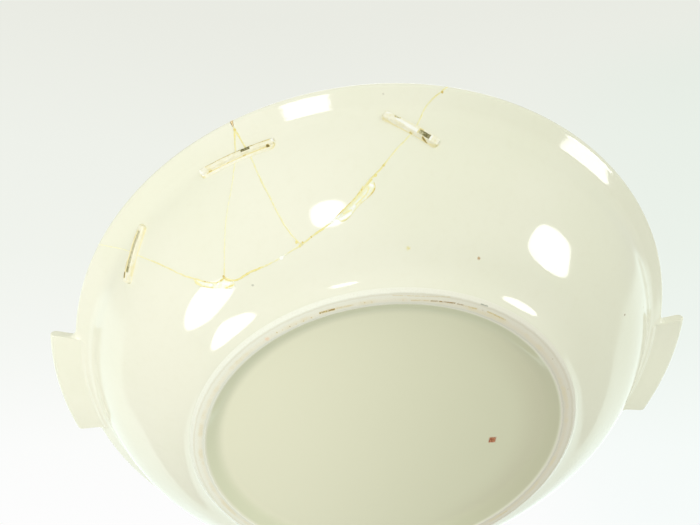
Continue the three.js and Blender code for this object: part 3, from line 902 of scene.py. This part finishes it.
# Drops and dark specks on the cracks: place, tone, radius and height
DROPS = [
    ((-4.05, 50.5), 0.56, 0.55, 0.16), ((-2.5, 55.4), 0.6, 0.42, 0.14), ((-37.8, 26.6), 0.74, 0.42, 0.16),
    ((-37.9, 25.7), 0.66, 0.36, 0.14), ((-20.8, 25), 0.48, 0.5, 0.12), ((-19.7, 23.9), 0.6, 0.34, 0.12),
    ((-20.4, 22.6), 0.5, 0.45, 0.12), ((-25.1, 97.2), 0.6, 0.5, 0.16), ((7.4, 99), 0.7, 0.45, 0.14),
    ((-24.9, 20.3), 0.02, 0.6, 0.1), ((-17.7, 25.2), 0.72, 0.3, 0.1),
]


def tone_near(points):
    """The tone and the half width of the glue at each of these points."""
    weight = 1 / (np.linalg.norm(points[:, None] - TONE_PLACES, axis=2)**2 + 1.5) ** 2
    return [(weight * v).sum(1) / weight.sum(1) for v in np.array([t[1:] for t in TONES]).T]


def glue_beads():
    """The glue that stands on the cracks, and its drops."""
    for seed, line in enumerate(CRACK_LINES):
        for path in crack_paths(line):
            tone, half = tone_near(np.array([p for p, _ in path]))
            shake = np.array([hum(0.8 * i, 5.0 * seed) for i in range(len(path))])
            half = half * (1 + 0.35 * shake)
            values = np.repeat(tone + 0.12 * shake, len(BEAD_SHAPE))
            yield *bead(path, half, 0.28 * half), np.r_[values, tone[0], tone[-1]]
    for seed, (place, tone, radius, height) in enumerate(DROPS):
        hit = crack_hit(*place)
        if hit:
            yield *dome(*hit[1], radius, height, seed), tone


# Films of glue that fill the two chips. Each mark on them has a tone, a half width, a height
# and the places that it runs through.
LEFT_FILM = [
    (0.74, 0.36, 0.16, [(-42.3, 32), (-41.1, 28.6), (-39.8, 26.2), (-38.4, 25.6)]),
    (0.7, 0.34, 0.14, [(-37.9, 24.6), (-37.2, 22.9), (-36.6, 22)]),
    (0.44, 0.5, 0.1, [(-43.6, 35.2), (-43.7, 33.1), (-43.2, 30.4)]),
    (0.62, 0.4, 0.12, [(-42.9, 28.9), (-42.1, 26.6), (-41.4, 25.2)]),
    (0.6, 0.3, 0.12, [(-38.8, 20.7), (-37.7, 20), (-36.9, 19.8)]),
    (0.3, 0.3, 0.1, [(-36.8, 19.9), (-36.6, 22)]),
]
RIGHT_FILM = [
    (0.66, 0.42, 0.14, [(-12.3, 31.9), (-10.4, 35.3), (-8.7, 38.6), (-7, 42.8), (-5.8, 46.1), (-4.7, 48.8)]),
    (0.3, 0.5, 0.1, [(-10, 34.8), (-8.3, 38.2), (-6.7, 42.2), (-5.6, 44.9)]),
    (0.7, 0.34, 0.12, [(-4.3, 46.6), (-4.2, 44.5), (-4.6, 42.2), (-5.6, 39.2), (-7, 36.4)]),
    (0.5, 0.4, 0.1, [(-7, 36.4), (-8.2, 33.7), (-9.1, 31.4), (-10.1, 29.9), (-11.2, 29.2)]),
    (0.42, 0.25, 0.12, [(-10.6, 33), (-9.2, 34), (-7.6, 37.4), (-6, 41), (-5.4, 44)]),
    # marks of tone 0, white, are painted glints on the glue
    (0, 0.6, 0.22, [(-11.2, 30.4), (-10.3, 31.3), (-9.3, 32.5)]),
    (0, 0.45, 0.2, [(-8.9, 34.9), (-8.3, 36)]), (0, 0.4, 0.12, [(-5, 46), (-4.7, 45.2)]),
]
FILM_STEP = 0.34
FILM_DEPTH = 0.92  # a little less than the chip's


def film(name, outline, marks, tone):
    """The glue in a chip: a lumpy sheet of points above a smooth one at the chip's bottom."""
    flat = np.array(grown(ring_of(outline, 0.4), -0.05)) * FLAT
    ring, (x0, y0), (x1, y1) = np.concatenate([flat, flat[:1]]), flat.T, np.roll(flat, -1, 0).T
    low, high = flat.min(0), flat.max(0)
    points = list(flat)
    for i, y in enumerate(np.arange(low[1], high[1], FILM_STEP * 0.87)):
        crossed = (y0 > y) != (y1 > y)
        x_at = x0 + (y - y0) / np.where(crossed, y1 - y0, 1) * (x1 - x0)
        for x in np.arange(low[0] + FILM_STEP / 2 * (i % 2), high[0], FILM_STEP):
            if (crossed & (x < x_at)).sum() % 2 and nearest((x, y), ring)[0] > 0.2:
                points.append((x, y))
    sides = [(i, (i + 1) % len(flat)) for i in range(len(flat))]
    made = geometry.delaunay_2d_cdt([Vector(p) for p in points], sides, [], 1, 1e-5)
    flat = np.array([tuple(v) for v in made[0]])
    on = on_places(flat / FLAT)
    away = nearest(flat, ring)
    lumps = np.array([hum(x * 0.9, y * 0.9, 2.0) for x, y in flat])
    lift = 0.02 - 0.22 * smooth(away, 0, 1.0) + 0.2 * lumps * smooth(away, 0, 0.5)
    value = tone + 0.12 * lumps
    for mark_tone, half, height, line in marks:
        share = 1 - smooth(nearest(on, on_places(line)), 0.35 * half, 1.2 * half)
        value = value + (mark_tone - value) * share
        lift = lift + height * share * smooth(away, 0, 0.25)
    m = len(flat)
    faces, edges = [], {}
    for a, b, c in made[2]:
        ab, ac = flat[b] - flat[a], flat[c] - flat[a]
        if ab[0] * ac[1] - ab[1] * ac[0] < 0:
            b, c = c, b
        faces += [(a, b, c), (c + m, b + m, a + m)]
        edges.update(dict.fromkeys([(a, b), (b, c), (c, a)]))
    faces += [(b, a, a + m, b + m) for a, b in edges if (b, a) not in edges]
    sheets = np.concatenate([on_places(flat / FLAT, lift), on_places(flat / FLAT, -FILM_DEPTH)])
    return solid(name, [(sheets, faces, np.r_[value, value])], "tone", glue)


class Staple:
    """One staple: places along it, across it and above the wall, in millimetres."""

    def __init__(self, start, end):
        self.start, self.change = np.array(start, float), np.subtract(end, start)
        self.length = float(np.linalg.norm(on_wall(*end) - on_wall(*start)))

    def place(self, along, across, lift):
        share = np.asarray(along, float) / self.length
        turn, rise = self.change
        degrees, percent = self.start[0] + turn * share, self.start[1] + rise * share
        per_degree = math.radians(1) * wall_at(percent)[0][..., 0]
        step = unit(np.stack([turn * per_degree, rise * PER_PERCENT + 0 * per_degree], -1))
        return on_wall(degrees + across * step[..., 1] / per_degree,
                       percent - across * step[..., 0] / PER_PERCENT, lift)


# Play round a leg in its hole, and how round the bar's edges and ends are
LEG_PLAY = 0.3
CORNER = 0.22
BAR_END = 0.25


def leg_hole(staple, start, end):
    along, across = np.meshgrid(np.linspace(start - LEG_PLAY, end + LEG_PLAY, 3),
                                np.linspace(-1, 1, 3) * (STAPLE_WIDTH / 2 + LEG_PLAY), indexing="ij")
    top, bottom = (staple.place(along, across, lift + 0 * along) for lift in (2.0, -STAPLE_DEPTH - LEG_PLAY))
    return mesh_of("hole", *slab(top, bottom))


def staple_bar(staple, seed, tarnish):
    """The metal bar with a leg at each end, as rounded sections along it."""
    leg, length = STAPLE_LEG, staple.length
    marks = np.unique(np.r_[0.0, 0.06, 0.2, np.linspace(0.4, leg, 4), leg + 0.03, leg + 0.25,
                            np.linspace(leg + 0.5, length - leg - 0.5, 60)])
    marks = np.r_[marks, (length - marks[marks < leg + 0.4])[::-1]]
    rings = []
    for s in marks:
        end = min(s, length - s)
        low = -STAPLE_DEPTH if end <= leg + 0.001 else STAPLE_LOW
        round_end = BAR_END * (1 - math.sqrt(max(0.0, 1 - (1 - min(end / BAR_END, 1)) ** 2)))
        high = STAPLE_HIGH - round_end + 0.05 * hum(s * 0.9, seed) - 0.03
        half = STAPLE_WIDTH / 2 - round_end * 0.6
        ring = []
        for side, top in ((1, 1), (-1, 1), (-1, -1), (1, -1)):
            for i in range(4):
                c, n = math.cos(math.pi / 6 * i), math.sin(math.pi / 6 * i)
                if side * top < 0:
                    c, n = n, c
                edge = high if top > 0 else low
                ring.append((side * (half - CORNER * (1 - c)), edge - top * CORNER * (1 - n)))
        rings.append(staple.place(np.full(len(ring), s), *np.array(ring).T))
    level, start, end = tarnish
    worst = level + 0.55 * smooth(marks, start - 0.4, start + 0.2) * smooth(-marks, -end - 0.2, -end + 0.4)
    return *tube(np.array(rings)), np.r_[np.repeat(worst, len(ring)), worst[0], worst[-1]]


# The ridges of putty. Core and skirt are across the staple: negative is towards the rim on the
# centre and right staples, and towards the front on the left one. A window is start, end, from
# and to across. A mark is a dirt value, half width and the places along and across that it runs
# through; values under CLEAN are painted highlights on the putty.
RIDGES = {
    "centre": dict(
        core=(-1, 1.35), skirt=(-1.6, 2.5), skirt_height=(0.1, 0.42), windows=[(15, 18, -1.3, 0.4)],
        marks=[
            (0.68, 0.24, [(2.4, -0.55), (6.3, -0.58), (12, -0.54), (15, -0.54), (20.8, -0.56), (24.6, -0.5)]),
            (0.46, 0.2, [(2, 1.5), (9.9, 1.66), (15.6, 1.5), (18.5, 1.5), (21.6, 1.4), (24.6, 1.4)]),
            (0.6, 0.3, [(2.9, 1.4), (3.7, 1.45)]), (0.62, 0.28, [(15.4, 1.5), (16.2, 1.5)]),
            (0.95, 0.34, [(23.7, 1.3), (24.1, 1.3)]), (0.6, 0.25, [(9.6, 1.6), (10.4, 1.6)]),
            (0.55, 0.5, [(23.2, -0.75), (25, -0.8)]), (0.36, 0.4, [(25.8, -1.6), (26.6, 0.2), (25.6, 2)]),
            (0.34, 0.4, [(-0.6, -0.9), (-0.8, 0.5), (0.6, 2.2)]), (0.34, 0.25, [(3.4, 2.55), (18.2, 2.55)]),
            # painted highlights: the lighter mark below is the lit lower skirt, and the white marks after it
            # are glints at the bar's ends
            (0.14, 0.45, [(3.4, 2.1), (9.5, 2.1), (15, 2.1), (18.2, 2.1)]),
            (0, 0.4, [(25.4, -1), (25.9, 0.4)]), (0.02, 0.4, [(0, -0.3), (0.4, 1.2)]),
        ]),
    "left": dict(
        core=(-2.2, 1.15), skirt=(-2.5, 2.5), skirt_height=(0.2, 0.14), windows=[(1.9, 16.4, -1.25, 0.22)],
        marks=[
            (0.32, 0.25, [(0.2, -2.1), (5.3, -2.45), (11, -2.4), (17.3, -2.1)]),
            (0.84, 0.42, [(3.7, 0.4), (5, 0.45)]), (0.76, 0.34, [(13, 0.6), (15.4, 0.6)]),
            (0.88, 0.55, [(16.8, 0.5), (18.3, 0.4)]), (0.5, 0.3, [(3, -1.2), (4.6, -1.2)]),
            (0.34, 0.25, [(1.9, 0.4), (16.4, 0.35)]), (0.34, 0.3, [(-0.7, -0.8), (-0.4, 0.7)]),
            (0.34, 0.3, [(20.5, -0.9), (20.6, 0.7)]),
        ]),
    "right": dict(
        core=(-1.4, 1.75), skirt=(-1.7, 2.1), skirt_height=(0.15, 0.2),
        windows=[(3.2, 4.8, -1.7, -0.35), (12.2, 15.8, -0.45, 1.15)],
        marks=[
            (0.36, 0.16, [(0.3, 1.6), (4.4, 1.85), (8.1, 1.95), (11.7, 2), (15, 1.95), (17.2, 1.8)]),
            (0.62, 0.3, [(9.8, 1.85), (10.4, 1.9)]), (0.8, 0.16, [(13.9, 1.5), (15, 1.7), (16, 1.9)]),
            # marks of 0 or 0.05, white, are painted highlights: a strip along the top, a glint at the start
            # and a line across past the second window
            (0.84, 0.42, [(3.5, -0.62), (4.7, -0.6)]), (0, 0.65, [(4.5, 0.25), (8, 0.55), (11.6, 0.85)]),
            (0.05, 0.5, [(0.6, -0.4), (1.6, -0.9)]), (0.55, 0.3, [(3, -1.3), (5, -1.4)]),
            (0.34, 0.35, [(-0.8, -0.6), (-0.6, 1)]), (0.42, 0.3, [(11.9, 1.1), (12.1, -0.4), (13, -0.6)]),
            (0.34, 0.35, [(17.5, 1.9), (19.2, 1.5), (19.6, 0.2)]), (0, 0.35, [(16.3, -0.3), (16.3, 1.1)]),
        ]),
}
# How high the putty stands, how clean it is, how far it reaches past the bar, over what length its
# ends and its edges round off, how deep it is sunk, and how high it stands where metal shows
RIDGE_TOP = 1.36
CLEAN = 0.2
PUTTY_REACH = 0.55
PUTTY_END = 1.5
PUTTY_EDGE = 0.46
PUTTY_SUNK = 0.06
WINDOW_LEVEL = 0.72
# How tarnished each bar is, and where along it that is worst
TARNISH = {"left": (0.05, 14.6, 18.0), "centre": (0.25, 14.6, 18.2), "right": (0.25, 13.6, 16.4)}


def ridge(staple, core, skirt, skirt_height, windows, marks, seed):
    """A hand-laid strip of putty over a staple, open where metal shows."""
    length, reach = staple.length, PUTTY_REACH
    along = np.r_[np.linspace(-reach, 0.6, 14), np.arange(0.8, length - 0.7, 0.17),
                  np.linspace(length - 0.6, length + reach, 14)]
    u, q = np.meshgrid(along, np.linspace(0, 1, 49), indexing="ij")
    from_end = np.minimum(u + reach, length + reach - u)
    round_end = np.sqrt(np.clip(1 - (1 - np.clip(from_end / PUTTY_END, 0, 1)) ** 2, 0.002, 1))
    middle = (core[0] + core[1]) / 2 * (1 - round_end)
    shake = np.array([[hum(a * 0.32, side, seed) for side in (0.0, 9.0)] for a in along]) * 0.28
    low = middle + (skirt[0] + shake[:, :1]) * round_end
    high = middle + (skirt[1] + shake[:, 1:]) * round_end
    v = low + (high - low) * q
    core_low, core_high = core[0] + 0.5 * shake[:, :1], core[1] + 0.5 * shake[:, 1:]
    inner = np.minimum(v - core_low, core_high - v)
    edge = np.minimum(q, 1 - q) * (high - low)
    body_share = smooth(inner, -0.04, PUTTY_EDGE) * smooth(from_end, 0.06, 0.5) * smooth(edge, 0, 0.3)
    crown = 1 - 0.09 * ((v - (core_low + core_high) / 2) / ((core_high - core_low) / 2)) ** 2
    lumps = np.array([[hum(a * 0.45, b * 0.6, seed + 5.0) + 0.4 * hum(a * 1.6, b * 1.5, seed) for b in row]
                      for a, row in zip(along, v)])
    skirt_lift = np.where(v < middle, skirt_height[0], skirt_height[1])
    base = skirt_lift * smooth(edge, 0, 0.45) * smooth(from_end, 0, 0.6) + 0.02
    lift = base + (RIDGE_TOP * crown + 0.1 * lumps - base) * body_share
    lift = lift + 0.06 * lumps * smooth(edge, 0, 0.4)
    ragged = 0.12 * lumps
    for start, end, left, right in windows:
        opening = smooth(u, start - 0.12, start + 0.1) * smooth(-u, -end - 0.12, -end + 0.1)
        opening = opening * smooth(v + ragged, left - 0.1, left + 0.08)
        opening = opening * smooth(-v + ragged, -right - 0.1, -right + 0.08)
        lift = lift + (np.minimum(lift, WINDOW_LEVEL) - lift) * opening
    dirt_and_painted_light = CLEAN + 0.1 * lumps + 0.07 * (1 - smooth(edge, 0, 0.3))
    flat = np.stack([u.ravel(), v.ravel()], -1)
    for tone, half, line in marks:
        near = nearest(flat, line).reshape(u.shape)
        dirt_and_painted_light = dirt_and_painted_light + (tone - dirt_and_painted_light) * (1 - smooth(near + 0.1 * lumps, 0.4 * half, 1.25 * half))
    sheets = slab(staple.place(u, v, lift), staple.place(u, v, -PUTTY_SUNK + 0 * u))
    return *sheets, np.r_[dirt_and_painted_light.ravel(), dirt_and_painted_light.ravel()]


# Pieces


def own(ob, node):
    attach(ob, "root")
    if node:
        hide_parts(node)


def shard(name, node, slot, paints, keep, *take):
    """A piece of the whole bowl: what lies in one block, if there is one, and outside the others."""
    ob = add(name, whole.data.copy())
    if keep:
        cut(ob, "INTERSECT", keep)
    for cutter in take:
        cut(ob, "DIFFERENCE", cutter)
    finish_shards(ob, *paints)
    own(ob, node)
    return ob


glaze = glaze_paint()
fracture = grainy_paint("broken_edge", 3.0, 0.5, (0.86, 0.80, 0.62), (0.94, 0.91, 0.82), 0.5, 0.8, 0.0002)
glue, putty, metal = glue_paint(), putty_paint(), metal_paint()
filler = grainy_paint("rim_filler", 1.5, 0.6, (0.93, 0.80, 0.56), (0.96, 0.88, 0.70), 0.45, 0.7, 0.0001)

staples = {name: Staple(start, end) for name, start, end in STAPLES}
for staple in staples.values():
    for start, end in ((0, STAPLE_LEG), (staple.length - STAPLE_LEG, staple.length)):
        cut(whole, "DIFFERENCE", leg_hole(staple, start, end))

HALF_GAP = GLUE_GAP / 2
shard("porcelain_body", "bowl_body", "glaze", (glaze, fracture), None,
      break_block(BREAK, HALF_GAP), chip_block(LEFT_CHIP), chip_block(RIGHT_CHIP))
for name, outline in SHERDS.items():
    shard(f"porcelain_sherd_{name}", f"sherd_{name}", "glaze", (glaze, fracture),
          break_block(outline, -HALF_GAP), break_block(NOTCH, HALF_GAP))
shard("rim_wedge", "rim_fill", "filler", (filler, filler), break_block(NOTCH, -HALF_GAP))
# glue fills every gap between the shards and the wedge
fill = shard("glue_lines", None, "putty", (glue, glue), break_block(BREAK, HALF_GAP),
             *(break_block(outline, -HALF_GAP) for outline in (NOTCH, *SHERDS.values())))
set_values(fill.data, "tone", tone_near(np.array([v.co for v in fill.data.vertices]) / MM)[0])
bpy.data.objects.remove(whole)
own(solid("glue_beads", glue_beads(), "tone", glue), None)
own(film("chip_film_left", LEFT_CHIP, LEFT_FILM, 0.1), None)
own(film("chip_film_right", RIGHT_CHIP, RIGHT_FILM, 0.14), None)
for seed, (name, staple) in enumerate(staples.items()):
    bar, strip = staple_bar(staple, seed, TARNISH[name]), ridge(staple, seed=3.0 + seed, **RIDGES[name])
    own(solid(f"metal_{name}", [bar], "wear", metal), f"staple_{name}")
    own(solid(f"ridge_{name}", [strip], "dirt_and_painted_light", putty), f"putty_{name}")


# Camera, lamps, world and floor

# The photo's width in pixels, and how far its middle lies from the lens's axis, across and up
PHOTO_WIDTH = 700
SHIFT_PIXELS = (30, 105)
# The camera's azimuth, elevation and roll in degrees, and how far right of it, below it and in
# front of it the foot's middle is
CAMERA_TURN = (-4.60, -49.13, -5.16)
CAMERA_OFFSET = (23.91, 30.53, 263.49)
LENS = 36


def way_to(azimuth, elevation):
    """A direction; azimuth runs from the front towards +X."""
    a, e = math.radians(azimuth), math.radians(elevation)
    return Vector((math.sin(a) * math.cos(e), -math.cos(a) * math.cos(e), math.sin(e)))


def camera():
    azimuth, elevation, roll = CAMERA_TURN
    back, roll = way_to(azimuth, elevation), math.radians(roll)
    right = (-back).cross(Vector((0, 0, 1))).normalized()
    up = right.cross(-back)
    x = right * math.cos(roll) + up * math.sin(roll)
    y = -right * math.sin(roll) + up * math.cos(roll)
    aside, below, ahead = CAMERA_OFFSET
    eye = (back * ahead + y * below - x * aside) * MM
    data = bpy.data.cameras.new("camera")
    data.sensor_width = data.lens = LENS
    data.shift_x, data.shift_y = (pixels / PHOTO_WIDTH for pixels in SHIFT_PIXELS)
    data.clip_start, data.clip_end = 0.01, 30
    cam = add("camera", data)
    cam.matrix_world = Matrix.Translation(eye) @ Matrix((x, y, back)).transposed().to_4x4()
    bpy.context.scene.camera = cam


def light(kind, name, aim, azimuth, elevation, distance, colour, **settings):
    """A light that lies in this direction from its aim, and which the camera doesn't see."""
    data = bpy.data.lights.new(name, kind)
    data.color = colour
    for key, value in settings.items():
        setattr(data, key, value)
    ob = add(name, data)
    way = way_to(azimuth, elevation)
    ob.location = Vector(aim) * MM + way * distance
    ob.rotation_mode = "QUATERNION"
    ob.rotation_quaternion = way.to_track_quat("Z", "Y")
    ob.visible_camera = False
    return ob


def lamp(name, aim, azimuth, elevation, distance, size, radiance, colour=(1, 1, 1), shape="ELLIPSE"):
    """An area lamp that shows in the glaze and lights nothing else."""
    area = size[0] * size[1] * (math.pi / 4 if shape == "ELLIPSE" else 1)
    ob = light("AREA", name, aim, azimuth, elevation, distance, colour,
               shape=shape, size=size[0], size_y=size[1], energy=radiance * math.pi * area)
    ob.visible_diffuse = False
    return ob


def spot(name, aim, azimuth, elevation, distance, reach, power, colour, radius=0.16):
    """A soft spot lamp whose light fades to nothing at reach from its aim, both in millimetres."""
    ob = light("SPOT", name, aim, azimuth, elevation, distance, colour, energy=power, spot_blend=1.0,
               spot_size=2 * math.atan2(reach * MM, distance), shadow_soft_size=radius)
    ob.visible_glossy = False


camera()
lamp("lamp_centre", (-24, -100, 25), -17, -48, 0.9, (0.19, 0.147), 8)
lamp("lamp_right", (60, -85, 25), 75, -30, 0.9, (0.29, 0.25), 8)
lamp("lamp_left", (-56, -57, 6), -87, -45, 0.9, (0.36, 0.34), 8)
top = lamp("lamp_top", (0, 0, 40), 20, 75, 1.2, (0.9, 0.9), 0.9, shape="RECTANGLE")
top.visible_diffuse = True
spot("spot_left", (-116, -84, 30), -35, -50, 1.5, 225, 48, (1.0, 0.99, 0.99))
spot("spot_low", (-100, 4, 18), -60, -70, 1.5, 110, 36, (1.0, 0.99, 1.03))
spot("spot_lug_right", (128, 4, 40), 70, -62, 1.2, 58, 13, (0.95, 1.0, 1.05), 0.04)
spot("spot_lug_left", (-128, 4, 40), -65, -70, 1.2, 58, 8, (1.0, 1.0, 1.1), 0.04)
front = lamp("lamp_front", (0, 0, 30), 38, -8, 1.5, (0.8, 0.8), 3.15, (0.965, 1.0, 0.955))
front.visible_glossy, front.visible_diffuse = False, True

# The world: a pale backdrop for the camera, soft light all round, and a bright wall behind the bowl
# above the level of the table, which shows in the glaze at its sides
BACKDROP_UP = (0.029, -0.758, 0.652)
BACKDROP_ACROSS = (0.998, -0.012, -0.059)
BACKDROP = [
    (0, 0.992, 0.992, 0.992), (0.14, 0.986, 0.989, 0.984), (0.34, 0.958, 0.967, 0.95),
    (0.5, 0.943, 0.955, 0.93), (0.7, 0.934, 0.945, 0.918), (0.92, 0.916, 0.922, 0.891),
]
GREENER = (0.94, 0.985, 0.97, 1)
SOFT_LIGHT = (0.62, 0.635, 0.60, 1)
WALL_BEHIND = (1.2, 1.35, 1.3, 1)

world = bpy.data.worlds.new("world")
bpy.context.scene.world = world
world.use_nodes = True
w = Nodes(world.node_tree)
way = w.node("TexCoord").outputs["Generated"]
_, y, z = w.node("SeparateXYZ", way).outputs
up = w.vector("DOT_PRODUCT", way, BACKDROP_UP, out=1)
across = w.vector("DOT_PRODUCT", way, BACKDROP_ACROSS, out=1)
backdrop = w.ramp(w.span(up, -0.2, 0.5, kind="LINEAR"), BACKDROP)
side = w.times(w.span(across, 0.2, 0.45, 0, 0.85), w.span(up, 0.34, 0.42, 1, 0.2))
backdrop = w.mix(side, backdrop, GREENER, "MULTIPLY")
behind = w.times(w.span(z, -0.1, -0.05), w.span(y, 0.16, 0.26))
ray = w.node("LightPath").outputs
around = w.mix(w.times(behind, ray["Is Glossy Ray"]), SOFT_LIGHT, WALL_BEHIND)
w.join(w.mix(ray["Is Camera Ray"], around, backdrop), w.tree.nodes["Background"].inputs["Color"])

# The floor that the bowl stands on. It can be seen only from above.
FLOOR_HALF = 1600
FLOOR_DROP = -0.6
floor = mesh_of("floor", [(x * FLOOR_HALF, y * FLOOR_HALF, FLOOR_DROP) for x, y in (
    (-1, -1), (1, -1), (1, 1), (-1, 1))], [(0, 1, 2, 3)])
paint = Paint("pale_floor", Roughness=0.7)
paint.set("Base Color", paint.mix(
    paint.span(paint.noise(0.004, 2.0), 0.35, 0.65), (0.93, 0.93, 0.92), (0.95, 0.95, 0.94)))
see_through = paint.node("BsdfTransparent").outputs[0]
sides = paint.node("MixShader", paint.node("NewGeometry").outputs["Backfacing"],
                   paint.shader.outputs[0], see_through)
paint.join(sides.outputs[0], paint.tree.nodes["Material Output"].inputs["Surface"])
floor.data.materials.append(paint.material)
floor.visible_diffuse = floor.visible_glossy = floor.visible_transmission = floor.visible_shadow = False
floor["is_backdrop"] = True

bpy.context.scene.view_settings.view_transform = "Standard"
low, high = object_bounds()
[[float(c) for c in v] for v in (cad_low, cad_high, low, high)]
